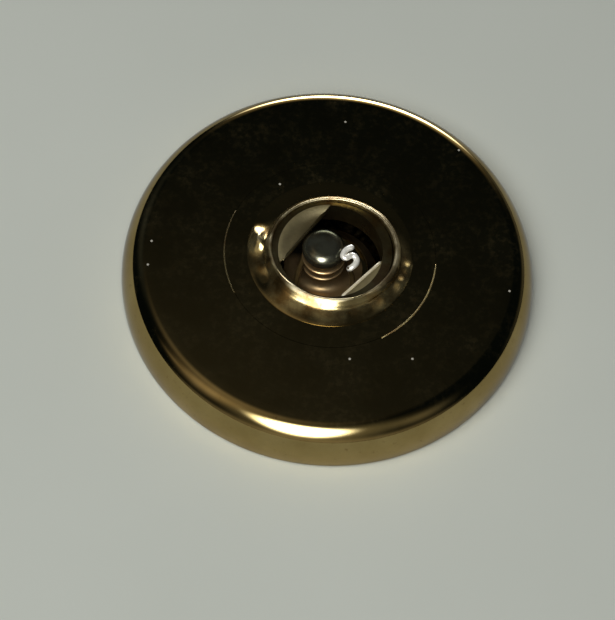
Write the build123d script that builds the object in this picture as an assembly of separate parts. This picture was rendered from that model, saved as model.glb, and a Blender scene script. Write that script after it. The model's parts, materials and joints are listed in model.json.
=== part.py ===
"""Round enamel pin with a hollow gold-plated back and a low swivel clutch.

The pin rests on its enamel front. The origin is the centre of that face and +Z points out of the back.
All sizes are in millimetres.
"""
from build123d import *
import os
from math import sqrt

# ---- driving dimensions -------------------------------------------------------------------------
PIN_R = 10.0               # outside radius of the pin
PIN_H = 2.4                # enamel front to the flat back

EDGE_W = 1.25              # rounded back edge, measured across the face
EDGE_H = 2.1               # the same edge, measured down the side
FOOT_ROUND = 0.2           # small radius where the side meets the front
WALL = 0.4                 # sheet thickness of the shell
MOUTH_R = 9.4              # inside radius of the shell where the front plate sits
OPENING_R = 3.2            # hole in the back that the clutch sleeve drops into

SEAT_R = 5.05              # shallow seat for the clutch flange
SEAT_DEPTH = 0.12

PLATE_H = 0.7              # front plate, with its raised lines
CELL_DEPTH = 0.4           # depth of the enamel cells
LINE_W = 0.25              # width of the raised metal lines
WEDGE_GROW = 0.05          # wedges reach this far past the petal tips
CENTER_R = 2.2
PETALS = 6
PETAL_IN = 2.7             # petal tip nearest the middle
PETAL_OUT = 7.3            # petal tip nearest the border
PETAL_HALF_W = 1.25
BORDER_IN = 7.6
BORDER_OUT = 9.0

SOLDER_LEG = 0.4           # leg of both solder fillets

POST_R = 1.03
POST_TIP = PIN_H + 0.8     # small flat on top of the rounded tip
POST_TIP_ROUND = 0.53
POST_HEAD_R = 1.9          # flat head soldered to the plate
POST_HEAD_H = 0.2
POST_NECK_R = 1.5          # cone between the head and the shaft
POST_NECK_H = 0.42
GROOVE_DEPTH = 0.14
GROOVE_HALF_W = 0.28
GROOVES_BELOW_BACK = (0.1, 0.65)   # groove centres, down from the flat back

FLANGE_R = 5.0
FLANGE_H = 0.2
FLANGE_HOLE_R = 2.85
FLANGE_ROUND = 0.03        # broken edge on top of the flange's rim
COLLAR_FOOT_R = 3.95       # where the collar meets the flange
COLLAR_EDGE_H = 0.06       # height of the foot's edge
COLLAR_BEND_R = 3.1        # the flat foot bends up into a cone here
COLLAR_BEND_H = 0.14
COLLAR_CREST_R = 2.83      # outside of the rolled lip
COLLAR_CREST_SHOULDER_H = 0.36
COLLAR_H = 0.42            # top of the lip above the flange
MOUTH_LIP_R = 2.69         # inner edge of the lip

SLEEVE_IN_R = 2.5
SLEEVE_OUT_R = 2.78
SLEEVE_BOTTOM = 1.3
SLEEVE_LIP_R = 2.95        # outward lip that keeps the cap on
SLEEVE_LIP_H = 0.1
SWIVEL_GAP = 0.04          # running clearance, lip to cap, each side

LEAF_H = 0.12
LEAF_TOP = PIN_H + 0.12
# Each leaf's straight edge: direction from the axis in degrees, and distance from it.
LEAF_EDGES = {"leaf_right": (-37.0, 2.03), "leaf_left": (149.0, 1.37)}

WIRE_R = 0.13
WIRE_Z = PIN_H - 0.65      # level with the lowest groove of the post
WIRE_CLEAR = 0.05          # wire to post
WIRE_REACH = 2.62          # half length of each wire
WIRE_TRAVEL = 0.15
WIRE_ANGLE = -5.0          # turn of the wire pair about Z
WIRE_BEND = 0.12           # the wire dips in towards the post by this much
WIRE_BEND_OUTER = 0.9      # the dip starts this far from the middle of the wire
WIRE_BEND_INNER = 0.35     # and reaches its depth here
WIRE_BEND_ROUND = 0.4
WIRE_SLOT_GAP = 0.03

os.makedirs("parts", exist_ok=True)


def save(node, shape):
    """Write one node's STEP file."""
    export_step(shape, f"parts/{node}.step")


def revolved(points_or_edges):
    """Turn a closed profile, drawn in the XZ plane, about the Z axis."""
    return revolve(make_face(points_or_edges), axis=Axis.Z)


def polygon(*points):
    """Closed polyline through (radius, height) pairs in the XZ plane."""
    return Plane.XZ * Polyline(*points, close=True)


def ring(inner, outer, low, high):
    """Plain ring with a rectangular section."""
    return revolved(polygon((inner, low), (outer, low), (outer, high), (inner, high)))


def lens(inner, outer, half_w, grow=0.0):
    """Pointed petal outline along +X, between two radii, grown outward by an even margin."""
    half_l = (outer - inner) / 2
    arc_r = (half_l**2 + half_w**2) / (2 * half_w)
    middle = (inner + outer) / 2
    upper = Pos(middle, half_w - arc_r) * Circle(arc_r + grow)
    lower = Pos(middle, arc_r - half_w) * Circle(arc_r + grow)
    return upper & lower


# ---- pin ----------------------------------------------------------------------------------------
def back_shell():
    """Pressed cup: flat back, wide rounded edge, open front mouth, hole and seat for the clutch."""
    flat_r = PIN_R - EDGE_W
    side_z = PIN_H - EDGE_H
    roof = PIN_H - WALL
    inner_flat_r = flat_r - WALL / 2
    inner_edge_w = MOUTH_R - inner_flat_r
    corner_z = PLATE_H + SOLDER_LEG
    outline = [
        Line((MOUTH_R, 0), (PIN_R - FOOT_ROUND, 0)),
        RadiusArc((PIN_R - FOOT_ROUND, 0), (PIN_R, FOOT_ROUND), -FOOT_ROUND),
        Line((PIN_R, FOOT_ROUND), (PIN_R, side_z)),
        EllipticalCenterArc((flat_r, side_z), EDGE_W, EDGE_H, 0, arc_size=90),
        Line((flat_r, PIN_H), (SEAT_R, PIN_H)),
        Line((SEAT_R, PIN_H), (SEAT_R, PIN_H - SEAT_DEPTH)),
        Line((SEAT_R, PIN_H - SEAT_DEPTH), (OPENING_R, PIN_H - SEAT_DEPTH)),
        Line((OPENING_R, PIN_H - SEAT_DEPTH), (OPENING_R, roof)),
        Line((OPENING_R, roof), (inner_flat_r, roof)),
        EllipticalCenterArc((inner_flat_r, corner_z), inner_edge_w, roof - corner_z, 0, arc_size=90),
        Line((MOUTH_R, corner_z), (MOUTH_R, 0)),
    ]
    return revolved(Plane.XZ * Curve(outline))


def cells():
    """Flat outlines of the enamel cells by node name."""
    out = {"enamel_center": Circle(CENTER_R)}
    field = Circle(PETAL_OUT + WEDGE_GROW) - Circle(CENTER_R + LINE_W)
    step = 360 / PETALS
    for i in range(PETALS):
        out[f"enamel_petal_{i + 1}"] = Rot(0, 0, i * step) * lens(PETAL_IN, PETAL_OUT, PETAL_HALF_W)
        field -= Rot(0, 0, i * step) * lens(PETAL_IN, PETAL_OUT, PETAL_HALF_W, LINE_W)
    wedges = sorted(field.faces(), key=lambda f: tuple(f.center()))
    for i, wedge in enumerate(wedges):
        out[f"enamel_wedge_{i + 1}"] = wedge
    out["enamel_border"] = Circle(BORDER_OUT) - Circle(BORDER_IN)
    return out


def front_plate(outlines):
    """Die-struck plate with a cell for each enamel fill."""
    plate = extrude(Circle(MOUTH_R), PLATE_H)
    for outline in outlines.values():
        plate -= extrude(outline, CELL_DEPTH)
    return plate


def rim_solder():
    """Solder fillet in the corner of the plate's back and the shell's wall."""
    return fillet_ring(MOUTH_R, -SOLDER_LEG, PLATE_H, SOLDER_LEG)


def fillet_ring(corner_r, leg_r, corner_z, leg_z):
    """Ring with a triangular section in an inside corner."""
    return revolved(polygon((corner_r, corner_z), (corner_r + leg_r, corner_z), (corner_r, corner_z + leg_z)))


def post():
    """Nail with a flat head, a conical neck, round grooves and a rounded tip."""
    head_top = PLATE_H + POST_HEAD_H
    shaft = revolved(
        polygon(
            (0, PLATE_H), (POST_HEAD_R, PLATE_H), (POST_HEAD_R, head_top), (POST_NECK_R, head_top),
            (POST_R, head_top + POST_NECK_H), (POST_R, POST_TIP), (0, POST_TIP),
        )
    )
    tip_edge = shaft.edges().filter_by(GeomType.CIRCLE).sort_by(Axis.Z)[-1]
    solid = fillet(tip_edge, POST_TIP_ROUND)
    groove_r = (GROOVE_HALF_W**2 + GROOVE_DEPTH**2) / (2 * GROOVE_DEPTH)
    for below in GROOVES_BELOW_BACK:
        solid -= Pos(0, 0, PIN_H - below) * Torus(POST_R - GROOVE_DEPTH + groove_r, groove_r)
    return solid


def post_solder():
    """Solder fillet round the head of the post."""
    return fillet_ring(POST_HEAD_R, SOLDER_LEG, PLATE_H, POST_HEAD_H)


# ---- clutch sleeve ------------------------------------------------------------------------------
CAP_BOTTOM = PIN_H - SEAT_DEPTH
FLANGE_TOP = CAP_BOTTOM + FLANGE_H
LIP_LOW = FLANGE_TOP + SWIVEL_GAP
LIP_HIGH = LIP_LOW + SLEEVE_LIP_H


def guide_sleeve():
    """Short tube with an outward lip on top and four slots that carry the grip wires."""
    tube = ring(SLEEVE_IN_R, SLEEVE_OUT_R, SLEEVE_BOTTOM, LIP_HIGH)
    lip = ring(SLEEVE_IN_R, SLEEVE_LIP_R, LIP_LOW, LIP_HIGH)
    sleeve = tube + lip
    wire_x = wire_offset()
    slot_w = 2 * WIRE_R + WIRE_TRAVEL + 2 * WIRE_SLOT_GAP
    slot_h = 2 * (WIRE_R + WIRE_SLOT_GAP)
    slot_x = wire_x + WIRE_TRAVEL / 2
    slot_l = 2 * (WIRE_REACH + WIRE_SLOT_GAP)
    for side in (1, -1):
        slot = Pos(side * slot_x, 0, WIRE_Z) * Box(slot_w, slot_l, slot_h)
        sleeve -= Rot(0, 0, WIRE_ANGLE) * slot
    return sleeve


def leaf(angle, distance):
    """Flat segment plate inside the sleeve with one straight edge."""
    disc = Circle(SLEEVE_IN_R)
    cut = Pos(distance - SLEEVE_IN_R, 0) * Rectangle(2 * SLEEVE_IN_R, 2 * SLEEVE_IN_R)
    plate = extrude(disc - cut, LEAF_H)
    return Pos(0, 0, LEAF_TOP - LEAF_H) * Rot(0, 0, angle) * plate


# ---- grip wires ---------------------------------------------------------------------------------
def wire_offset():
    """Distance from the axis to a wire's straight ends."""
    return POST_R + WIRE_CLEAR + WIRE_R + WIRE_BEND


def grip_wire(side):
    """Spring wire that runs past the post and dips in towards it at the middle."""
    x_out = side * wire_offset()
    x_in = side * (wire_offset() - WIRE_BEND)
    reach = sqrt(WIRE_REACH**2 - wire_offset() ** 2)
    path = FilletPolyline(
        (x_out, -reach), (x_out, -WIRE_BEND_OUTER), (x_in, -WIRE_BEND_INNER),
        (x_in, WIRE_BEND_INNER), (x_out, WIRE_BEND_OUTER), (x_out, reach),
        radius=WIRE_BEND_ROUND,
    )
    section = Plane(origin=(x_out, -reach, 0), z_dir=(0, 1, 0)) * Circle(WIRE_R)
    return Pos(0, 0, WIRE_Z) * Rot(0, 0, WIRE_ANGLE) * sweep(section, path=path)


# ---- clutch cap ---------------------------------------------------------------------------------
def clutch_flange():
    """Thin disc that lies in the seat."""
    disc = ring(FLANGE_HOLE_R, FLANGE_R, CAP_BOTTOM, FLANGE_TOP)
    rim = disc.edges().filter_by(GeomType.CIRCLE).sort_by(lambda e: (-e.radius, -e.center().Z))[0]
    return fillet(rim, FLANGE_ROUND)


def clutch_collar():
    """Pressed mouth: thin foot on the flange that bends up into a cone with a rolled lip."""
    z = FLANGE_TOP
    lip_low = LIP_HIGH + SWIVEL_GAP
    hollow_r = SLEEVE_LIP_R + SWIVEL_GAP
    shoulder = (COLLAR_CREST_R, z + COLLAR_CREST_SHOULDER_H)
    lip_top = (MOUTH_LIP_R, z + COLLAR_CREST_SHOULDER_H)
    crest = ((COLLAR_CREST_R + MOUTH_LIP_R) / 2, z + COLLAR_H)
    bend = (COLLAR_BEND_R, z + COLLAR_BEND_H)
    foot = (COLLAR_FOOT_R, z + COLLAR_EDGE_H)
    outline = [
        Line((COLLAR_FOOT_R, z), foot),
        Spline(foot, bend, tangents=((-1, 0), (COLLAR_CREST_R - COLLAR_BEND_R, shoulder[1] - bend[1]))),
        Line(bend, shoulder),
        ThreePointArc(shoulder, crest, lip_top),
        Line(lip_top, (MOUTH_LIP_R, lip_low)),
        Line((MOUTH_LIP_R, lip_low), (hollow_r, lip_low)),
        Line((hollow_r, lip_low), (hollow_r, z)),
        Line((hollow_r, z), (COLLAR_FOOT_R, z)),
    ]
    return revolved(Plane.XZ * Curve(outline))


OUTLINES = cells()

save("back_shell", back_shell())
save("front_plate", front_plate(OUTLINES))
for name, outline in OUTLINES.items():
    save(name, extrude(outline, CELL_DEPTH))
save("rim_solder", rim_solder())
save("post", post())
save("post_solder", post_solder())
save("guide_sleeve", guide_sleeve())
for name, (angle, distance) in LEAF_EDGES.items():
    save(name, leaf(angle, distance))
save("grip_wire_right", grip_wire(1))
save("grip_wire_left", grip_wire(-1))
save("clutch_flange", clutch_flange())
save("clutch_collar", clutch_collar())
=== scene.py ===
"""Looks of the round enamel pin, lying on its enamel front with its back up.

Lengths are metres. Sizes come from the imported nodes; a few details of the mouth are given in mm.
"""
import bpy
import json
from math import acos, cos, exp, hypot, pi, radians, sin, sqrt, tan
from mathutils import Matrix, Vector


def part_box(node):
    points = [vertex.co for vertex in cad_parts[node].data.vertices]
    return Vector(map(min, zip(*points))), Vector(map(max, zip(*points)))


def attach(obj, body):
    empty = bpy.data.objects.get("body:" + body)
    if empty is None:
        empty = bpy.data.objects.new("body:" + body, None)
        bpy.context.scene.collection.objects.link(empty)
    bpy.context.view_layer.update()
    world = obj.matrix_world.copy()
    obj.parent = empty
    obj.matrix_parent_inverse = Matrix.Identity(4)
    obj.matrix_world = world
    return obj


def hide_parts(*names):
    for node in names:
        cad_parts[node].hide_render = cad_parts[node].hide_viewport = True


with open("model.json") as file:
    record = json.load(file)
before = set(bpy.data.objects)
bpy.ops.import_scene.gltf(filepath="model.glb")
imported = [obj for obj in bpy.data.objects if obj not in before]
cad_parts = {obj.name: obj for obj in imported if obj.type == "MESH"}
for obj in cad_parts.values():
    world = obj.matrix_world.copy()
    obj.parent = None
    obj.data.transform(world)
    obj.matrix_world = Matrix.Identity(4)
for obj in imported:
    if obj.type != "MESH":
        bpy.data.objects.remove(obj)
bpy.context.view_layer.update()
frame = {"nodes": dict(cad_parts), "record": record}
MM = 0.001

# ---- sizes read from the frame ------------------------------------------------------------------
SHELL_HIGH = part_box("back_shell")[1]
FLANGE_LOW, FLANGE_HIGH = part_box("clutch_flange")
POST_LOW, POST_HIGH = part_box("post")
PLATE_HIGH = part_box("front_plate")[1]
PIN_R = SHELL_HIGH.x
PIN_H = SHELL_HIGH.z
FLANGE_TOP = PIN_H + 0.01 * MM      # the real disc lies almost flush in its seat
MOUTH_R = PLATE_HIGH.x

# ---- sizes shared with the CAD model, in metres -------------------------------------------------
EDGE_W = 1.25 * MM
EDGE_H = 2.1 * MM
FOOT_ROUND = 0.2 * MM
WALL = 0.4 * MM
SOLDER_LEG = 0.4 * MM
OPENING_R = 3.2 * MM          # hole in the back
SEAT_R = 5.05 * MM            # shallow seat round that hole
FLANGE_HOLE_R = 2.85 * MM
LIP_R = 2.69 * MM
HOLLOW_R = 2.99 * MM
LIP_BOTTOM = FLANGE_HIGH.z + 0.18 * MM
POST_R = 1.03 * MM

SEGMENTS = 288                # faces round a turned piece
SAME_PLACE = 1e-8             # points closer than this, in metres, are one point


# ---- mesh helpers -------------------------------------------------------------------------------
def arc(center, radius_r, radius_z, start, end, steps):
    """Points of an elliptical arc in (radius, height), angles in degrees."""
    out = []
    for i in range(steps + 1):
        a = radians(start + (end - start) * i / steps)
        out.append((center[0] + radius_r * cos(a), center[1] + radius_z * sin(a)))
    return out


def smooth_path(points, steps):
    """Catmull-Rom curve through 2-D or 3-D points, with a number of steps from each to the next."""
    pts = [Vector(p) for p in points]
    pts = [2 * pts[0] - pts[1]] + pts + [2 * pts[-1] - pts[-2]]
    out = []
    for i in range(1, len(pts) - 2):
        p0, p1, p2, p3 = pts[i - 1:i + 3]
        for k in range(steps):
            t = k / steps
            out.append(
                0.5 * (2 * p1 + (p2 - p0) * t + (2 * p0 - 5 * p1 + 4 * p2 - p3) * t**2
                       + (3 * p1 - p0 - 3 * p2 + p3) * t**3)
            )
    out.append(pts[-2])
    return [tuple(p) for p in out]


def new_mesh(name, verts, faces, sharp=40.0):
    """Mesh object with smooth faces and sharp edges above an angle in degrees."""
    mesh = bpy.data.meshes.new(name)
    mesh.from_pydata(verts, [], faces)
    mesh.validate()
    for face in mesh.polygons:
        face.use_smooth = True
    mesh.set_sharp_from_angle(angle=radians(sharp))
    obj = bpy.data.objects.new(name, mesh)
    bpy.context.scene.collection.objects.link(obj)
    return obj


def lathe(name, profile, segments=SEGMENTS, move=None, sharp=40.0):
    """Turn a closed profile of (radius, height) points about Z. Points on the axis become one vertex."""
    clean = []
    for point in profile:
        if not clean or hypot(point[0] - clean[-1][0], point[1] - clean[-1][1]) > SAME_PLACE:
            clean.append(point)
    if hypot(clean[0][0] - clean[-1][0], clean[0][1] - clean[-1][1]) <= SAME_PLACE:
        clean.pop()
    verts, rings = [], []
    for r, z in clean:
        start = len(verts)
        if r < SAME_PLACE:
            verts.append((0, 0, z))
            rings.append([start] * segments)
            continue
        for i in range(segments):
            a = 2 * pi * i / segments
            verts.append((r * cos(a), r * sin(a), z))
        rings.append(list(range(start, start + segments)))
    faces = []
    for k in range(len(rings)):
        low, high = rings[k], rings[(k + 1) % len(rings)]
        if low[0] == low[1] and high[0] == high[1]:
            continue
        for i in range(segments):
            j = (i + 1) % segments
            quad = []
            for v in (low[i], low[j], high[j], high[i]):
                if v not in quad:
                    quad.append(v)
            faces.append(quad)
    if move:
        verts = [move(*v) for v in verts]
    return new_mesh(name, verts, faces, sharp)


# Rings that round a tube's end: how far they stand out and how wide they are, as shares of its radius.
END_RINGS = ((0.9, 0.35), (0.6, 0.75))


def tube(name, path, radius, sides=20):
    """Round wire along a 3-D path, with rounded ends."""
    pts = [Vector(p) for p in path]
    tangents = []
    for i, p in enumerate(pts):
        a, b = pts[max(i - 1, 0)], pts[min(i + 1, len(pts) - 1)]
        tangents.append((b - a).normalized())
    normal = tangents[0].orthogonal().normalized()
    stations = [(pts[0] - tangents[0] * radius * out, tangents[0], radius * wide)
                for out, wide in END_RINGS]
    stations += [(p, t, radius) for p, t in zip(pts, tangents)]
    stations += [(pts[-1] + tangents[-1] * radius * out, tangents[-1], radius * wide)
                 for out, wide in reversed(END_RINGS)]
    verts, faces = [], []
    for p, t, r in stations:
        normal = (normal - t * normal.dot(t)).normalized()
        side = t.cross(normal)
        for k in range(sides):
            a = 2 * pi * k / sides
            verts.append(tuple(p + (normal * cos(a) + side * sin(a)) * r))
    for i in range(len(stations) - 1):
        for k in range(sides):
            m = (k + 1) % sides
            faces.append((i * sides + k, i * sides + m, (i + 1) * sides + m, (i + 1) * sides + k))
    last = (len(stations) - 1) * sides
    faces.append(tuple(range(sides - 1, -1, -1)))
    faces.append(tuple(range(last, last + sides)))
    return new_mesh(name, verts, faces, 60.0)


def weld(verts, faces):
    """Merge vertices that share a place, and drop the faces that vanish with them."""
    steps = 1 / SAME_PLACE
    kept, index = {}, []
    for vert in verts:
        key = tuple(round(c * steps) for c in vert)
        index.append(kept.setdefault(key, len(kept)))
    places = [tuple(c / steps for c in key) for key in kept]
    merged = [list(dict.fromkeys(index[i] for i in face)) for face in faces]
    return places, [face for face in merged if len(face) > 2]


# ---- material helpers ---------------------------------------------------------------------------
def material(name):
    """New node material: returns it, its node tree's nodes, its links and its Principled shader."""
    mat = bpy.data.materials.new(name)
    mat.use_nodes = True
    nodes = mat.node_tree.nodes
    shader = nodes["Principled BSDF"]
    return mat, nodes, mat.node_tree.links, shader


def place(nodes, links, scale=(1, 1, 1)):
    """Object coordinates, scaled."""
    coords = nodes.new("ShaderNodeTexCoord")
    mapping = nodes.new("ShaderNodeMapping")
    mapping.inputs["Scale"].default_value = scale
    links.new(coords.outputs["Object"], mapping.inputs["Vector"])
    return mapping.outputs["Vector"]


def noise(nodes, links, vector, scale, detail, rough):
    """Noise texture; returns its value output."""
    node = nodes.new("ShaderNodeTexNoise")
    node.inputs["Scale"].default_value = scale
    node.inputs["Detail"].default_value = detail
    node.inputs["Roughness"].default_value = rough
    links.new(vector, node.inputs["Vector"])
    return node.outputs["Fac"]


def remap(nodes, links, value, low, high, to_low, to_high):
    """Linear remap with clamping."""
    node = nodes.new("ShaderNodeMapRange")
    node.inputs["From Min"].default_value = low
    node.inputs["From Max"].default_value = high
    node.inputs["To Min"].default_value = to_low
    node.inputs["To Max"].default_value = to_high
    links.new(value, node.inputs["Value"])
    return node.outputs["Result"]


def math_node(nodes, links, operation, a, b):
    """Math node on two sockets or numbers."""
    node = nodes.new("ShaderNodeMath")
    node.operation = operation
    for socket, value in zip(node.inputs, (a, b)):
        if isinstance(value, (int, float)):
            socket.default_value = value
        else:
            links.new(value, socket)
    return node.outputs[0]


def mix_color(nodes, links, factor, a, b):
    """Mix two colours by a factor socket; a and b are colours or sockets."""
    node = nodes.new("ShaderNodeMix")
    node.data_type = "RGBA"
    links.new(factor, node.inputs["Factor"])
    for socket, value in ((node.inputs[6], a), (node.inputs[7], b)):
        if isinstance(value, tuple):
            socket.default_value = (*value, 1)
        else:
            links.new(value, socket)
    return node.outputs[2]


def bump(nodes, links, height, strength, distance, normal=None):
    """Bump node; returns its normal output."""
    node = nodes.new("ShaderNodeBump")
    node.inputs["Strength"].default_value = strength
    node.inputs["Distance"].default_value = distance
    links.new(height, node.inputs["Height"])
    if normal:
        links.new(normal, node.inputs["Normal"])
    return node.outputs["Normal"]


# ---- materials ----------------------------------------------------------------------------------
# GOLD is darker than fresh gold: an aged tone, and partly painted shade standing in for the shaded floor
# the metal reflects.
GOLD = (0.32, 0.232, 0.09)
GOLD_LIGHT = (0.375, 0.28, 0.118)
GOLD_BROWN = (0.18, 0.11, 0.035)
SATIN_LIGHT = (0.42, 0.34, 0.15)
DUST = (0.62, 0.60, 0.52)
# The crest colour is worn plating made pale as a painted highlight along the crest line.
CREST_WORN_AND_LIT = (0.46, 0.39, 0.24)     # plating rubbed matt on the mouth's crest
# The leaf's two colours are painted shade and painted light.
LEAF_SHADED = (0.13, 0.10, 0.045)
LEAF_LIT = (0.46, 0.38, 0.19)
POST_BROWN = (0.33, 0.22, 0.10)     # plating left low on the post
POST_GREY = (0.12, 0.12, 0.085)     # its worn tip
# Painted shade for the far side of the post's tip.
POST_FAR_SHADE = (0.02, 0.02, 0.012)
SOLDER_DARK = (0.08, 0.056, 0.025)
SOLDER_PALE = (0.17, 0.12, 0.06)
BUBBLE = (0.8, 0.8, 0.78)
FLOOR_COLORS = ((0.61, 0.64, 0.57), (0.67, 0.70, 0.63))
EDGE_TINT = (0.70, 0.72, 0.80)      # the gold's reflection near grazing angles
POST_TINT = (0.20, 0.20, 0.18)      # the post's, much weaker


def specks(nodes, links, vector, scale, size, share):
    """Sparse round specks: 1 inside a speck, 0 elsewhere. Share is the part of the cells with one."""
    cells = nodes.new("ShaderNodeTexVoronoi")
    cells.voronoi_dimensions = "2D"
    cells.inputs["Scale"].default_value = scale
    links.new(vector, cells.inputs["Vector"])
    split = nodes.new("ShaderNodeSeparateColor")
    links.new(cells.outputs["Color"], split.inputs[0])
    near = remap(nodes, links, cells.outputs["Distance"], size, size * 0.6, 0, 1)
    chosen = math_node(nodes, links, "LESS_THAN", split.outputs[0], share)
    return math_node(nodes, links, "MULTIPLY", near, chosen)


def polished_gold(name, film=0.03):
    """Mirror gold plate with a thin film of handling grease, hairlines, tarnish and a few dust specks."""
    mat, nodes, links, shader = material(name)
    at = place(nodes, links)
    tarnish = noise(nodes, links, at, 420, 5, 0.6)
    grain = noise(nodes, links, at, 3200, 4, 0.65)
    fine = noise(nodes, links, place(nodes, links, (1, 0.12, 1)), 9000, 2, 0.5)
    split = nodes.new("ShaderNodeSeparateXYZ")
    links.new(at, split.inputs[0])
    flat = remap(nodes, links, split.outputs["Z"], PIN_H - 0.02 * MM, PIN_H - 0.005 * MM, 0, 1)
    dots = specks(nodes, links, at, scale=700, size=0.05, share=0.07)
    lint = math_node(nodes, links, "MULTIPLY", dots, flat)
    base = mix_color(nodes, links, remap(nodes, links, tarnish, 0.4, 0.65, 0, 1), GOLD, GOLD_LIGHT)
    base = mix_color(nodes, links, remap(nodes, links, grain, 0.62, 0.74, 0, 0.6), base, GOLD_BROWN)
    base = mix_color(nodes, links, lint, base, DUST)
    links.new(base, shader.inputs["Base Color"])
    smear = math_node(nodes, links, "MULTIPLY", remap(nodes, links, tarnish, 0.42, 0.66, 0.1, 1),
                      remap(nodes, links, grain, 0.47, 0.66, 0, film))
    dull = math_node(nodes, links, "MAXIMUM", smear, math_node(nodes, links, "MULTIPLY", lint, 0.8))
    links.new(math_node(nodes, links, "SUBTRACT", 1.0, dull), shader.inputs["Metallic"])
    shader.inputs["Specular Tint"].default_value = (*EDGE_TINT, 1)
    haze = remap(nodes, links, tarnish, 0.5, 0.72, 0.035, 0.09)
    scuff = remap(nodes, links, grain, 0.6, 0.75, 0, 0.12)
    links.new(math_node(nodes, links, "ADD", haze, scuff), shader.inputs["Roughness"])
    wave = bump(nodes, links, tarnish, 0.05, 0.02 * MM)
    links.new(bump(nodes, links, fine, 0.03, 0.005 * MM, wave), shader.inputs["Normal"])
    return mat


def satin_gold(name, low, high, matt, bright):
    """Gold plate that was never buffed: worn patches, small pits and a dull film.

    Its roughness runs from low to high, matt is the film's share and bright scales its colours, which gives
    the lit and shaded copies below: painted light and painted shade.
    """
    mat, nodes, links, shader = material(name)
    at = place(nodes, links)
    patches = noise(nodes, links, at, 900, 4, 0.6)
    pits = noise(nodes, links, at, 5200, 3, 0.5)
    brown = tuple(c * bright for c in GOLD_BROWN)
    light = tuple(c * bright for c in SATIN_LIGHT)
    base = mix_color(nodes, links, remap(nodes, links, patches, 0.38, 0.62, 0, 1), brown, light)
    links.new(base, shader.inputs["Base Color"])
    links.new(remap(nodes, links, patches, 0.35, 0.65, 1 - matt * 1.4, 1 - matt), shader.inputs["Metallic"])
    links.new(remap(nodes, links, patches, 0.35, 0.65, high, low), shader.inputs["Roughness"])
    rough = bump(nodes, links, patches, 0.2, 0.05 * MM)
    links.new(bump(nodes, links, pits, 0.15, 0.01 * MM, rough), shader.inputs["Normal"])
    return mat


def collar_gold(name):
    """Gold: a mirror on its flat foot, satin above it, worn matt where it stands highest, and painted pale
    there as a highlight along the crest.
    """
    mat, nodes, links, shader = material(name)
    coords = nodes.new("ShaderNodeTexCoord")
    split = nodes.new("ShaderNodeSeparateXYZ")
    links.new(coords.outputs["Object"], split.inputs[0])
    patches = noise(nodes, links, coords.outputs["Object"], 900, 4, 0.6)
    pits = noise(nodes, links, coords.outputs["Object"], 5200, 3, 0.5)
    # Crest mask: worn plating, matt and rougher, and painted pale as a highlight along the crest line.
    crest = remap(nodes, links, split.outputs["Z"], PIN_H + 0.40 * MM, PIN_H + 0.50 * MM, 0, 1)
    pale_lit = math_node(nodes, links, "MULTIPLY", crest, remap(nodes, links, patches, 0.4, 0.62, 0.25, 1))
    raised = remap(nodes, links, split.outputs["Z"], PIN_H + 0.03 * MM, PIN_H + 0.08 * MM, 0, 1)
    base = mix_color(nodes, links, remap(nodes, links, patches, 0.38, 0.62, 0, 1), GOLD_BROWN, SATIN_LIGHT)
    base = mix_color(nodes, links, raised, GOLD, base)
    links.new(mix_color(nodes, links, pale_lit, base, CREST_WORN_AND_LIT), shader.inputs["Base Color"])
    film = math_node(nodes, links, "MULTIPLY", raised, remap(nodes, links, patches, 0.35, 0.6, 0.03, 0.13))
    matt = math_node(nodes, links, "MAXIMUM", film, remap(nodes, links, pale_lit, 0, 1, 0.02, 0.30))
    links.new(math_node(nodes, links, "SUBTRACT", 1.0, matt), shader.inputs["Metallic"])
    brushed = remap(nodes, links, patches, 0.35, 0.65, 0.20, 0.08)
    satin = math_node(nodes, links, "MULTIPLY", raised, brushed)
    haze = math_node(nodes, links, "ADD", satin, remap(nodes, links, pale_lit, 0, 1, 0.05, 0.37))
    links.new(haze, shader.inputs["Roughness"])
    rough = bump(nodes, links, patches, 0.2, 0.05 * MM)
    links.new(bump(nodes, links, pits, 0.1, 0.01 * MM, rough), shader.inputs["Normal"])
    return mat


def leaf_gold(name):
    """Pressed leaf: painted shade in the middle, painted light towards its outer rim."""
    mat, nodes, links, shader = material(name)
    at = place(nodes, links)
    patches = noise(nodes, links, at, 1300, 4, 0.6)
    flat = nodes.new("ShaderNodeVectorMath")
    flat.operation = "LENGTH"
    links.new(place(nodes, links, (1, 1, 0)), flat.inputs[0])
    # Painted light towards the outer rim, fading to painted shade in the middle.
    pale_lit = remap(nodes, links, flat.outputs["Value"], 1.4 * MM, 2.4 * MM, 0, 1)
    pale_lit = math_node(nodes, links, "MULTIPLY", pale_lit, remap(nodes, links, patches, 0.3, 0.6, 0.4, 1))
    links.new(mix_color(nodes, links, pale_lit, LEAF_SHADED, LEAF_LIT), shader.inputs["Base Color"])
    links.new(remap(nodes, links, pale_lit, 0, 1, 0.93, 0.72), shader.inputs["Metallic"])
    links.new(remap(nodes, links, patches, 0.35, 0.65, 0.42, 0.28), shader.inputs["Roughness"])
    links.new(bump(nodes, links, patches, 0.25, 0.04 * MM), shader.inputs["Normal"])
    return mat


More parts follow.
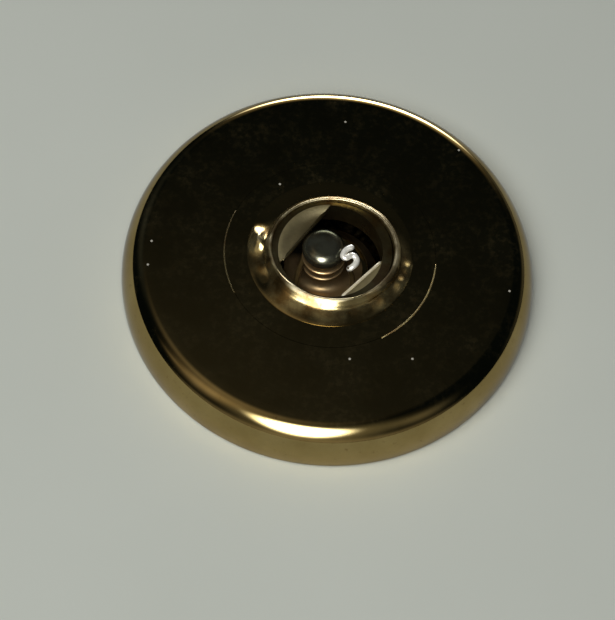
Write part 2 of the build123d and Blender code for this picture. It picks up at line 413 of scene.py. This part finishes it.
def post_metal(name):
    """Turned post: grey worn tip, painted shade on its far side, brown plating lower down, fine turning
    rings.
    """
    mat, nodes, links, shader = material(name)
    coords = nodes.new("ShaderNodeTexCoord")
    split = nodes.new("ShaderNodeSeparateXYZ")
    links.new(coords.outputs["Object"], split.inputs[0])
    height = remap(nodes, links, split.outputs["Z"], PIN_H - 0.1 * MM, PIN_H + 0.5 * MM, 0, 1)
    worn = noise(nodes, links, coords.outputs["Object"], 1500, 4, 0.6)
    height = math_node(nodes, links, "ADD", height, remap(nodes, links, worn, 0.3, 0.7, -0.25, 0.25))
    base = mix_color(nodes, links, height, POST_BROWN, POST_GREY)
    shader.inputs["Specular Tint"].default_value = (*POST_TINT, 1)
    # Painted shade: the tip darkens towards its far side, with patchy edges.
    far_side = remap(nodes, links, split.outputs["Y"], 0.25 * MM, 0.7 * MM, 0, 1)
    blotches = remap(nodes, links, worn, 0.3, 0.7, -0.2, 0.2)
    far_shade = math_node(nodes, links, "ADD", far_side, blotches)
    base = mix_color(nodes, links, far_shade, base, POST_FAR_SHADE)
    links.new(base, shader.inputs["Base Color"])
    links.new(remap(nodes, links, worn, 0.35, 0.65, 0.9, 0.8), shader.inputs["Metallic"])
    grain = remap(nodes, links, worn, 0.35, 0.65, -0.04, 0.04)
    turned = remap(nodes, links, split.outputs["Z"], PIN_H + 0.1 * MM, PIN_H + 0.4 * MM, 0.34, 0.22)
    links.new(math_node(nodes, links, "ADD", turned, grain), shader.inputs["Roughness"])
    rings = noise(nodes, links, place(nodes, links, (0.02, 0.02, 1)), 16000, 2, 0.5)
    links.new(bump(nodes, links, rings, 0.15, 0.004 * MM), shader.inputs["Normal"])
    return mat


def half_matt_metal(name, dark, pale, gloss):
    """Half-matt metal with faint marks. The copies below carry painted highlights and painted shade in
    their colours.
    """
    mat, nodes, links, shader = material(name)
    marks = noise(nodes, links, place(nodes, links), 4000, 3, 0.5)
    links.new(mix_color(nodes, links, marks, dark, pale), shader.inputs["Base Color"])
    links.new(remap(nodes, links, marks, 0.3, 0.7, 0.35, 0.15), shader.inputs["Metallic"])
    links.new(remap(nodes, links, marks, 0.3, 0.7, 0.3, 0.42), shader.inputs["Roughness"])
    shader.inputs["Specular IOR Level"].default_value = gloss
    links.new(bump(nodes, links, marks, 0.1, 0.004 * MM), shader.inputs["Normal"])
    return mat


def solder_metal(name):
    """Dull browned solder with a frozen, slightly lumpy skin."""
    mat, nodes, links, shader = material(name)
    lumps = noise(nodes, links, place(nodes, links), 1400, 4, 0.6)
    links.new(mix_color(nodes, links, lumps, SOLDER_DARK, SOLDER_PALE), shader.inputs["Base Color"])
    shader.inputs["Metallic"].default_value = 1
    links.new(remap(nodes, links, lumps, 0.3, 0.7, 0.35, 0.55), shader.inputs["Roughness"])
    links.new(bump(nodes, links, lumps, 0.3, 0.03 * MM), shader.inputs["Normal"])
    return mat


def enamel(name, color, deep):
    """Hard enamel: glassy, with cloudy colour, tiny bubbles and a stoned, almost flat skin."""
    mat, nodes, links, shader = material(name)
    at = place(nodes, links)
    cloud = noise(nodes, links, at, 380, 4, 0.55)
    bubbles = noise(nodes, links, at, 6500, 2, 0.4)
    base = mix_color(nodes, links, remap(nodes, links, cloud, 0.35, 0.65, 0, 1), color, deep)
    base = mix_color(nodes, links, remap(nodes, links, bubbles, 0.68, 0.76, 0, 0.35), base, BUBBLE)
    links.new(base, shader.inputs["Base Color"])
    links.new(remap(nodes, links, cloud, 0.3, 0.7, 0.10, 0.2), shader.inputs["Roughness"])
    shader.inputs["Coat Weight"].default_value = 0.8
    shader.inputs["Coat Roughness"].default_value = 0.06
    links.new(bump(nodes, links, cloud, 0.08, 0.02 * MM), shader.inputs["Normal"])
    return mat


def floor_paint(name):
    """Pale matt floor with a very faint mottle."""
    mat, nodes, links, shader = material(name)
    mottle = noise(nodes, links, place(nodes, links), 60, 4, 0.5)
    links.new(mix_color(nodes, links, mottle, *FLOOR_COLORS), shader.inputs["Base Color"])
    links.new(remap(nodes, links, mottle, 0.3, 0.7, 0.85, 1.0), shader.inputs["Roughness"])
    shader.inputs["Specular IOR Level"].default_value = 0
    return mat


# ---- pieces -------------------------------------------------------------------------------------
BACK_RINGS = (8.4, 7.6, 6.8, 6.0, 5.4)      # rings of the mesh on the flat back, radii in mm
FLANGE_RINGS = (4.6, 4.2, 3.6)              # and on the flange
SEAT_GAP = 0.015 * MM                       # between the flange's rim and its seat


def make_shell(mat):
    """Gold cup with its rounded edge and the shallow seat for the flange."""
    flat_r = PIN_R - EDGE_W
    roof = PIN_H - WALL
    corner_z = PLATE_HIGH.z + SOLDER_LEG
    inner_w = MOUTH_R - flat_r + WALL / 2
    seat_z = FLANGE_LOW.z
    profile = [(MOUTH_R, 0)]
    profile += arc((PIN_R - FOOT_ROUND, FOOT_ROUND), FOOT_ROUND, FOOT_ROUND, -90, 0, 8)
    profile += arc((flat_r, PIN_H - EDGE_H), EDGE_W, EDGE_H, 0, 90, 40)
    profile += [(r * MM, PIN_H) for r in BACK_RINGS]
    profile += [(SEAT_R, PIN_H), (SEAT_R, seat_z), (OPENING_R, seat_z), (OPENING_R, roof)]
    profile += [(flat_r - WALL / 2, roof)]
    profile += arc((MOUTH_R - inner_w, corner_z), inner_w, roof - corner_z, 90, 0, 12)
    obj = lathe("shell_polished", profile)
    obj.data.materials.append(mat)
    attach(obj, "pin")
    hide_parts("back_shell")


def make_flange(mat):
    """Thin clutch disc."""
    low, top = FLANGE_LOW.z, FLANGE_TOP
    outer = SEAT_R - SEAT_GAP
    profile = [(FLANGE_HOLE_R, low), (outer, low), (outer, top)]
    profile += [(r * MM, top) for r in FLANGE_RINGS]
    profile += [(FLANGE_HOLE_R, top)]
    obj = lathe("flange_polished", profile)
    obj.data.materials.append(mat)
    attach(obj, "cap")
    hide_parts("clutch_flange")


# Worn stretches of the flange's rim: start and end in degrees, thickness in mm.
# The right line gets the lit material and the left the shaded one: painted light and painted shade.
BURRS = {"flange_wear_line_lit": (-56, 0, 0.045), "flange_wear_line_shaded": (160, 212, 0.04)}


def make_burrs(mats):
    """Thin worn lines along two stretches of the flange's rim. They sink into it towards their ends. The
    right one is coloured as painted light, the left one as painted shade.
    """
    for mat, (name, (start, end, thick)) in zip(mats, BURRS.items()):
        line = arc((0, 0), SEAT_R, SEAT_R, start, end, 24)
        middle = len(line) // 2
        path = []
        for i, (x, y) in enumerate(line):
            sunk = thick * MM * ((i - middle) / middle) ** 2
            path.append((x, y, FLANGE_TOP - sunk))
        obj = tube(name, path, thick * MM, 10)
        obj.data.materials.append(mat)
        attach(obj, "cap")


# Ears and dents of the collar: place in mm, width in mm, height in mm.
DENTS = (
    (-3.74, 0.40, 0.50, 0.46),
    (-3.25, -0.05, 0.38, 0.26),
    (-2.85, -1.10, 0.30, 0.07),
    (3.75, -0.50, 0.34, 0.16),
    (3.40, -1.35, 0.38, 0.16),
    (2.70, -2.30, 0.30, 0.08),
    (2.30, 2.10, 0.60, 0.05),
    (-1.75, -2.45, 0.60, 0.10),
    (-2.75, -1.75, 0.45, -0.08),
    (-0.40, -3.45, 0.40, -0.02),
    (1.45, -2.65, 0.70, -0.12),
)
MOUTH_SHIFT = 0.12 * MM       # the mouth is pulled to the right
MOUTH_STRETCH = 0.09          # and widened by this share
MOUTH_TILT = 0.02             # the mouth's right side stands higher
RISE_HEIGHT = 0.3 * MM        # above the flange: from here up the mouth moves as one
DENT_FADE = 5                 # the dents fade in over the first fifth of that height
DEEPEST_DENT = 0.5            # share of the height that a dent may take away
FAR_FOOT_FLAT = 0.9           # the foot lies flatter on the far side
FAR_FOOT_SHARE = 0.35         # how far that side reaches round towards the near one
FOOT_START = 2.95 * MM        # the flattening begins at this radius
FOOT_FADE = 0.15 * MM         # and is full this much further out


def dent_collar(x, y, z):
    """Press the ears into the collar, pull its mouth oval and sideways, and set it a little askew."""
    lift = 0
    for at_x, at_y, width, height in DENTS:
        d = hypot(x - at_x * MM, y - at_y * MM) / (width * MM)
        lift += height * MM * exp(-d * d)
    foot = min(max((hypot(x, y) - FOOT_START) / FOOT_FADE, 0), 1)
    far = min(max(FAR_FOOT_SHARE + y / hypot(x, y), 0), 1)
    z -= FAR_FOOT_FLAT * foot * far * (z - FLANGE_TOP)
    rise = min(max(z - FLANGE_TOP, 0) / RISE_HEIGHT, 1)
    lift = max(lift * min(rise * DENT_FADE, 1), -DEEPEST_DENT * (z - FLANGE_TOP))
    lift += MOUTH_TILT * x * rise
    return (x * (1 + MOUTH_STRETCH * rise) + MOUTH_SHIFT * rise, y, z + lift)


# Outline of the collar's outside: radius and height above the flange in mm.
COLLAR_FOOT = ((3.95, 0), (3.95, 0.02), (3.9, 0.035))
COLLAR_CONE = (
    (3.8, 0.05), (3.55, 0.08), (3.3, 0.13), (3.14, 0.19), (3.03, 0.28), (2.93, 0.37), (2.85, 0.445),
)


def make_collar(mat):
    """Pressed mouth of the clutch: thin foot, cone and a rolled lip."""
    z = FLANGE_TOP
    crest_z = z + COLLAR_CONE[-1][1] * MM
    crest_w, crest_h = 0.07 * MM, 0.06 * MM
    profile = [(r * MM, z + h * MM) for r, h in COLLAR_FOOT]
    profile += smooth_path([(r * MM, z + h * MM) for r, h in COLLAR_CONE], 6)
    profile += arc((LIP_R + crest_w, crest_z), crest_w, crest_h, 20, 180, 16)
    profile += [(LIP_R + 0.01 * MM, crest_z - 0.08 * MM), (LIP_R + 0.02 * MM, LIP_BOTTOM)]
    profile += [(HOLLOW_R, LIP_BOTTOM), (HOLLOW_R, z)]
    obj = lathe("collar_pressed", profile, move=dent_collar)
    obj.data.materials.append(mat)
    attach(obj, "cap")
    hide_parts("clutch_collar")


POST_SHIFT = -0.26 * MM       # the post stands a little off the mouth's axis
POST_LEAN = -0.03             # sideways per unit of height
GROOVES = (0.65, 0.1)         # depth of the grooves' middles below the flat back, in mm


def make_post(mat):
    """Grooved nail with a flared neck and a rounded tip."""
    base, tip = POST_LOW.z, POST_HIGH.z
    head_r, head_h = POST_HIGH.x, 0.2 * MM
    neck_w, neck_h = 0.47 * MM, 0.42 * MM
    depth, half_w = 0.14 * MM, 0.28 * MM
    tip_round = 0.53 * MM
    shoulder = base + head_h
    profile = [(0, base), (head_r, base), (head_r, shoulder)]
    profile += arc((POST_R + neck_w, shoulder + neck_h), neck_w, neck_h, 270, 180, 12)
    for below in GROOVES:
        profile += [(POST_R - depth * sin(radians(a)), PIN_H - below * MM - half_w * cos(radians(a)))
                    for a in range(0, 181, 12)]
    profile += arc((POST_R - tip_round, tip - tip_round), tip_round, tip_round, 0, 90, 16)
    profile.append((0, tip))

    def lean(x, y, z):
        return (x + POST_SHIFT + POST_LEAN * (z - base), y, z)

    obj = lathe("post_turned", profile, 96, lean, 50.0)
    obj.data.materials.append(mat)
    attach(obj, "pin")
    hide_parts("post")


LEAF_STEPS = 40
LEAF_R = 2.5 * MM
LEAF_BEND_START = 1.9 * MM    # radius where a leaf's rim begins to bend up
LEAF_BEND_WIDTH = 0.6 * MM
BEAD_SINK = 0.01 * MM         # the rounded edge is sunk this far into the leaf
BEAD_PLACES = (-0.9, -0.5, 0, 0.5, 0.86)    # along the leaf's straight edge, -1 to 1


def make_leaf(name, node, angle, chord, lift, edge, mat, edge_mat):
    """Segment plate whose rim bends up by lift, with a rounded edge along its chord. Sizes in mm."""
    low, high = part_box(node)
    start, chord = radians(angle), chord * MM
    half = sqrt(LEAF_R**2 - chord**2)
    spread = acos(chord / LEAF_R)
    mid = Vector((cos(start), sin(start), 0)) * chord
    along = Vector((-sin(start), cos(start), 0))
    verts = []
    for drop in (0, high.z - low.z):
        for i in range(LEAF_STEPS + 1):
            side = 2 * i / LEAF_STEPS - 1
            inner = mid + along * half * side
            outer = Vector((cos(start + spread * side), sin(start + spread * side), 0)) * LEAF_R
            for k in range(LEAF_STEPS + 1):
                p = inner.lerp(outer, k / LEAF_STEPS)
                bend = min(max((p.length - LEAF_BEND_START) / LEAF_BEND_WIDTH, 0), 1)
                rise = lift * MM * bend**2 * (3 - 2 * bend)
                verts.append((p.x, p.y, high.z - drop + rise))
    row = LEAF_STEPS + 1
    layer = row * row
    faces = []
    for i in range(LEAF_STEPS):
        for k in range(LEAF_STEPS):
            a = i * row + k
            faces.append((a + 1, a + row + 1, a + row, a))
            faces.append((layer + a + row, layer + a + row + 1, layer + a + 1, layer + a))
    border = [i * row for i in range(row)]
    border += [LEAF_STEPS * row + k for k in range(1, row)]
    border += [i * row + LEAF_STEPS for i in range(LEAF_STEPS - 1, -1, -1)]
    border += list(range(LEAF_STEPS - 1, 0, -1))
    for a, b in zip(border, border[1:] + border[:1]):
        faces.append((layer + b, layer + a, a, b))
    plate = new_mesh(name, *weld(verts, faces))
    plate.data.materials.append(mat)
    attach(plate, "sleeve")
    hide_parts(node)
    top = Vector((0, 0, high.z - BEAD_SINK))
    path = [tuple(mid + along * half * t + top) for t in BEAD_PLACES]
    bead = tube(name + "_edge", path, edge * MM)
    bead.data.materials.append(edge_mat)
    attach(bead, "sleeve")


WIRE_RADIUS = 0.13 * MM
CURL_RADIUS = 0.145 * MM      # the curled end is a little thicker
# Routes in mm, from the flat back. Right wire: along the post and up past it, then its curled end.
WIRE_STEM = (
    (1.14, -2.22, -0.65), (1.20, -1.7, -0.65), (1.22, -1.35, -0.5), (1.16, -1.12, -0.1),
    (1.03, -1.07, 0.28), (0.98, -1.04, 0.55),
)
WIRE_CURL = (
    (0.98, -1.04, 0.52), (1.10, -0.98, 0.60), (1.23, -0.82, 0.62), (1.28, -0.62, 0.64),
    (1.18, -0.46, 0.68), (1.02, -0.42, 0.72), (0.88, -0.52, 0.74), (0.73, -0.62, 0.76),
    (0.62, -0.54, 0.78), (0.65, -0.34, 0.79), (0.78, -0.16, 0.80), (0.96, -0.04, 0.80),
)
STRAIGHT_WIRE = (
    (-1.52, -2.16, -0.65), (-1.41, -0.85, -0.65), (-1.27, -0.3, -0.65), (-1.22, 0.25, -0.65),
    (-1.27, 0.9, -0.65), (-1.14, 2.2, -0.65),
)


def make_wire(name, node, body, route, mat, radius=WIRE_RADIUS):
    """Spring wire along a route of points in mm, measured from the flat back."""
    points = [(x * MM, y * MM, PIN_H + z * MM) for x, y, z in route]
    obj = tube(name, smooth_path(points, 8), radius)
    obj.data.materials.append(mat)
    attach(obj, body)
    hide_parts(node)


# ---- build --------------------------------------------------------------------------------------
SHELL_GOLD = polished_gold("gold_mirror")
FLANGE_GOLD = polished_gold("gold_mirror_flange", film=0.035)
COLLAR_GOLD = collar_gold("gold_satin")
LEAF_GOLD = leaf_gold("gold_leaf")
# Lit and shaded copies of one satin gold for the flange's rim lines: painted light and painted shade.
RIM_LINE_LIT = satin_gold("gold_rim_line_lit", low=0.4, high=0.5, matt=0.25, bright=1.1)
RIM_LINE_SHADED = satin_gold("gold_rim_line_shaded", low=0.4, high=0.5, matt=0.1, bright=0.4)
# Pale, almost white: painted highlight along the right leaf's rounded edge.
BAR_LIT = half_matt_metal("gold_bar_painted_highlight", (0.82, 0.72, 0.48), (0.90, 0.82, 0.60), 0.6)
# Dimmed to a fifth: painted shade for the parts deep in the clutch and the left leaf's edge.
INNER_GOLD_SHADED = satin_gold("gold_inner_shaded", low=0.35, high=0.5, matt=0.02, bright=0.2)
POST = post_metal("post_worn")
# Almost white: painted glint on the curled wire end.
WIRE = half_matt_metal("wire_painted_glint", (0.97, 0.93, 0.78), (1.0, 0.98, 0.90), 0.8)
# Almost black: painted shade on the wire stem and the straight wire deep in the clutch.
WIRE_SHADED = half_matt_metal("wire_painted_shade", (0.05, 0.032, 0.012), (0.08, 0.055, 0.02), 0.1)
SOLDER = solder_metal("solder_dull")
ENAMEL_COLORS = {
    "enamel_white": ((0.80, 0.77, 0.69), (0.66, 0.62, 0.54)),
    "enamel_red": ((0.42, 0.015, 0.03), (0.25, 0.006, 0.015)),
    "enamel_blue": ((0.015, 0.05, 0.24), (0.008, 0.025, 0.13)),
    "enamel_teal": ((0.015, 0.23, 0.21), (0.008, 0.13, 0.13)),
}
ENAMELS = {name: enamel(name, *colors) for name, colors in ENAMEL_COLORS.items()}
PLATE_GOLD = polished_gold("gold_plate_front")

make_shell(SHELL_GOLD)
make_flange(FLANGE_GOLD)
make_burrs((RIM_LINE_LIT, RIM_LINE_SHADED))
make_collar(COLLAR_GOLD)
make_post(POST)
# The right leaf's edge carries a painted highlight, the left one's painted shade.
make_leaf("leaf_plate_right", "leaf_right", angle=-38.5, chord=2.06, lift=0.0, edge=0.075,
          mat=LEAF_GOLD, edge_mat=BAR_LIT)
make_leaf("leaf_plate_left", "leaf_left", angle=149.0, chord=1.50, lift=0.16, edge=0.08,
          mat=LEAF_GOLD, edge_mat=INNER_GOLD_SHADED)
make_wire("wire_stem", "grip_wire_right", "wire_right", WIRE_STEM, WIRE_SHADED)
make_wire("wire_curl", "grip_wire_right", "wire_right", WIRE_CURL, WIRE, CURL_RADIUS)
make_wire("wire_straight", "grip_wire_left", "wire_left", STRAIGHT_WIRE, WIRE_SHADED)

slots = {entry["node"]: entry["material_slot"] for entry in frame["record"]["subparts"]}
finishes = {**ENAMELS, "gold_plate": INNER_GOLD_SHADED, "solder": SOLDER, "post_metal": POST, "spring_wire": WIRE}
for node_name, node_obj in frame["nodes"].items():
    finish = PLATE_GOLD if node_name == "front_plate" else finishes[slots[node_name]]
    node_obj.data.materials.clear()
    node_obj.data.materials.append(finish)

# ---- floor --------------------------------------------------------------------------------------
FLOOR_HALF = 3.0
floor = new_mesh("floor", [(-FLOOR_HALF, -FLOOR_HALF, 0), (FLOOR_HALF, -FLOOR_HALF, 0),
                           (FLOOR_HALF, FLOOR_HALF, 0), (-FLOOR_HALF, FLOOR_HALF, 0)], [(0, 1, 2, 3)])
floor.data.materials.append(floor_paint("floor_pale"))


# ---- light --------------------------------------------------------------------------------------
def spot_direction(azimuth, elevation):
    """Unit vector: azimuth in degrees from +X towards +Y."""
    a, e = radians(azimuth), radians(elevation)
    return Vector((cos(e) * cos(a), cos(e) * sin(a), sin(e)))


def soft_box(name, azimuth, elevation, distance, width, height, radiance):
    """Rectangular white lamp that faces the pin."""
    lamp = bpy.data.lights.new(name, "AREA")
    lamp.shape = "RECTANGLE"
    lamp.size, lamp.size_y = width, height
    lamp.energy = radiance * pi * width * height
    obj = bpy.data.objects.new(name, lamp)
    bpy.context.scene.collection.objects.link(obj)
    toward = spot_direction(azimuth, elevation)
    obj.location = toward * distance
    obj.rotation_euler = toward.to_track_quat("Z", "Y").to_euler()
    return obj


fill = soft_box("fill_above", -125, 66, distance=0.25, width=0.25, height=0.2, radiance=3.45)
fill.visible_glossy = False
fill.visible_camera = False

# Light seen only as reflections. Each patch: azimuth, elevation, half width and half height in degrees,
# brightness, colour. Windows have a crisp outline, glows fade away slowly.
WINDOWS = (
    (-95, 41, 15.5, 22, 20.0, (1.0, 1.05, 1.15)),
    (88, 8, 16.5, 11, 26.0, (1.0, 1.05, 1.15)),
)
GLOWS = (
    (-91, 38, 26, 32, 0.45, (1.0, 0.95, 0.75)),
    (170, 76, 14, 14, 0.32, (1.0, 0.88, 0.70)),
    (110, 68, 14, 8, 0.03, (1.0, 1.0, 0.95)),
    (-145, 48, 12, 22, 0.55, (1.0, 0.85, 0.65)),
    (-162, 34, 6, 6, 0.15, (1.0, 0.85, 0.65)),
    (-40, 32, 10, 16, 0.20, (1.0, 0.97, 0.85)),
    (-90, 2, 60, 10, 0.30, (1.0, 0.92, 0.75)),
    (45, 6, 30, 8, 0.12, (1.0, 1.0, 0.9)),
    (142, 38, 14, 18, 0.035, (1.0, 1.15, 1.4)),
    (86, 19, 14, 14, 1.6, (1.0, 0.88, 0.65)),
)
DARK_ROOM = (0.004, 0.007, 0.010)


def dot_node(nodes, links, socket, vector):
    """Dot product of a direction socket and a fixed vector."""
    node = nodes.new("ShaderNodeVectorMath")
    node.operation = "DOT_PRODUCT"
    links.new(socket, node.inputs[0])
    node.inputs[1].default_value = vector
    return node.outputs["Value"]


def light_patch(nodes, links, look, patch, crisp):
    """Brightness of one patch in the looked-at direction, as a colour socket."""
    azimuth, elevation, half_w, half_h, strength, color = patch
    middle = spot_direction(azimuth, elevation)
    side = Vector((0, 0, 1)).cross(middle).normalized()
    toward = dot_node(nodes, links, look, middle)
    squares = []
    for axis, half in ((side, half_w), (middle.cross(side), half_h)):
        sideways = dot_node(nodes, links, look, axis / tan(radians(half)))
        across = math_node(nodes, links, "DIVIDE", sideways, toward)
        squares.append(math_node(nodes, links, "MULTIPLY", across, across))
    falloff = math_node(nodes, links, "ADD", *squares)
    if crisp:
        falloff = math_node(nodes, links, "POWER", falloff, 2.0)
    lobe = math_node(nodes, links, "EXPONENT", math_node(nodes, links, "MULTIPLY", falloff, -1.0), 0)
    in_front = math_node(nodes, links, "GREATER_THAN", toward, 0.0)
    tint = nodes.new("ShaderNodeVectorMath")
    tint.operation = "SCALE"
    tint.inputs[0].default_value = [c * strength for c in color]
    links.new(math_node(nodes, links, "MULTIPLY", lobe, in_front), tint.inputs["Scale"])
    return tint.outputs[0]


def glow_world():
    """World with a dark room and patches of light. It lights no matt surface."""
    world = bpy.data.worlds.new("studio")
    world.use_nodes = True
    nodes, links = world.node_tree.nodes, world.node_tree.links
    look = nodes.new("ShaderNodeTexCoord").outputs["Generated"]
    total = None
    for patch in WINDOWS + GLOWS:
        add = nodes.new("ShaderNodeVectorMath")
        links.new(light_patch(nodes, links, look, patch, patch in WINDOWS), add.inputs[0])
        if total is None:
            add.inputs[1].default_value = DARK_ROOM
        else:
            links.new(total, add.inputs[1])
        total = add.outputs[0]
    links.new(total, nodes["Background"].inputs["Color"])
    bpy.context.scene.world = world
    world.cycles_visibility.diffuse = False


glow_world()

# ---- camera -------------------------------------------------------------------------------------
VIEW_ELEVATION = 61.03             # degrees above the floor
VIEW_ROLL = 6.38                   # degrees
CLOSENESS = 0.12                   # the pin's radius as a share of the camera's distance
VIEW_DISTANCE = PIN_R / CLOSENESS
SENSOR = 36.0
FRAMED = 0.33                      # the pin's radius as a share of the frame's height
SHIFT = (-0.0324, -0.0532)         # of the frame, as shares of its height

camera_data = bpy.data.cameras.new("camera")
camera = bpy.data.objects.new("camera", camera_data)
bpy.context.scene.collection.objects.link(camera)
bpy.context.scene.camera = camera
away = spot_direction(-90, VIEW_ELEVATION)
camera.location = away * VIEW_DISTANCE
turn_in = away.to_track_quat("Z", "Y").to_matrix()
camera.rotation_euler = (turn_in @ Matrix.Rotation(radians(VIEW_ROLL), 3, "Z")).to_euler()
camera_data.sensor_width = SENSOR
camera_data.lens = SENSOR * FRAMED * VIEW_DISTANCE / PIN_R
camera_data.shift_x, camera_data.shift_y = SHIFT
camera_data.clip_start = 0.001
camera_data.clip_end = 20

bpy.context.scene.view_settings.view_transform = "Standard"
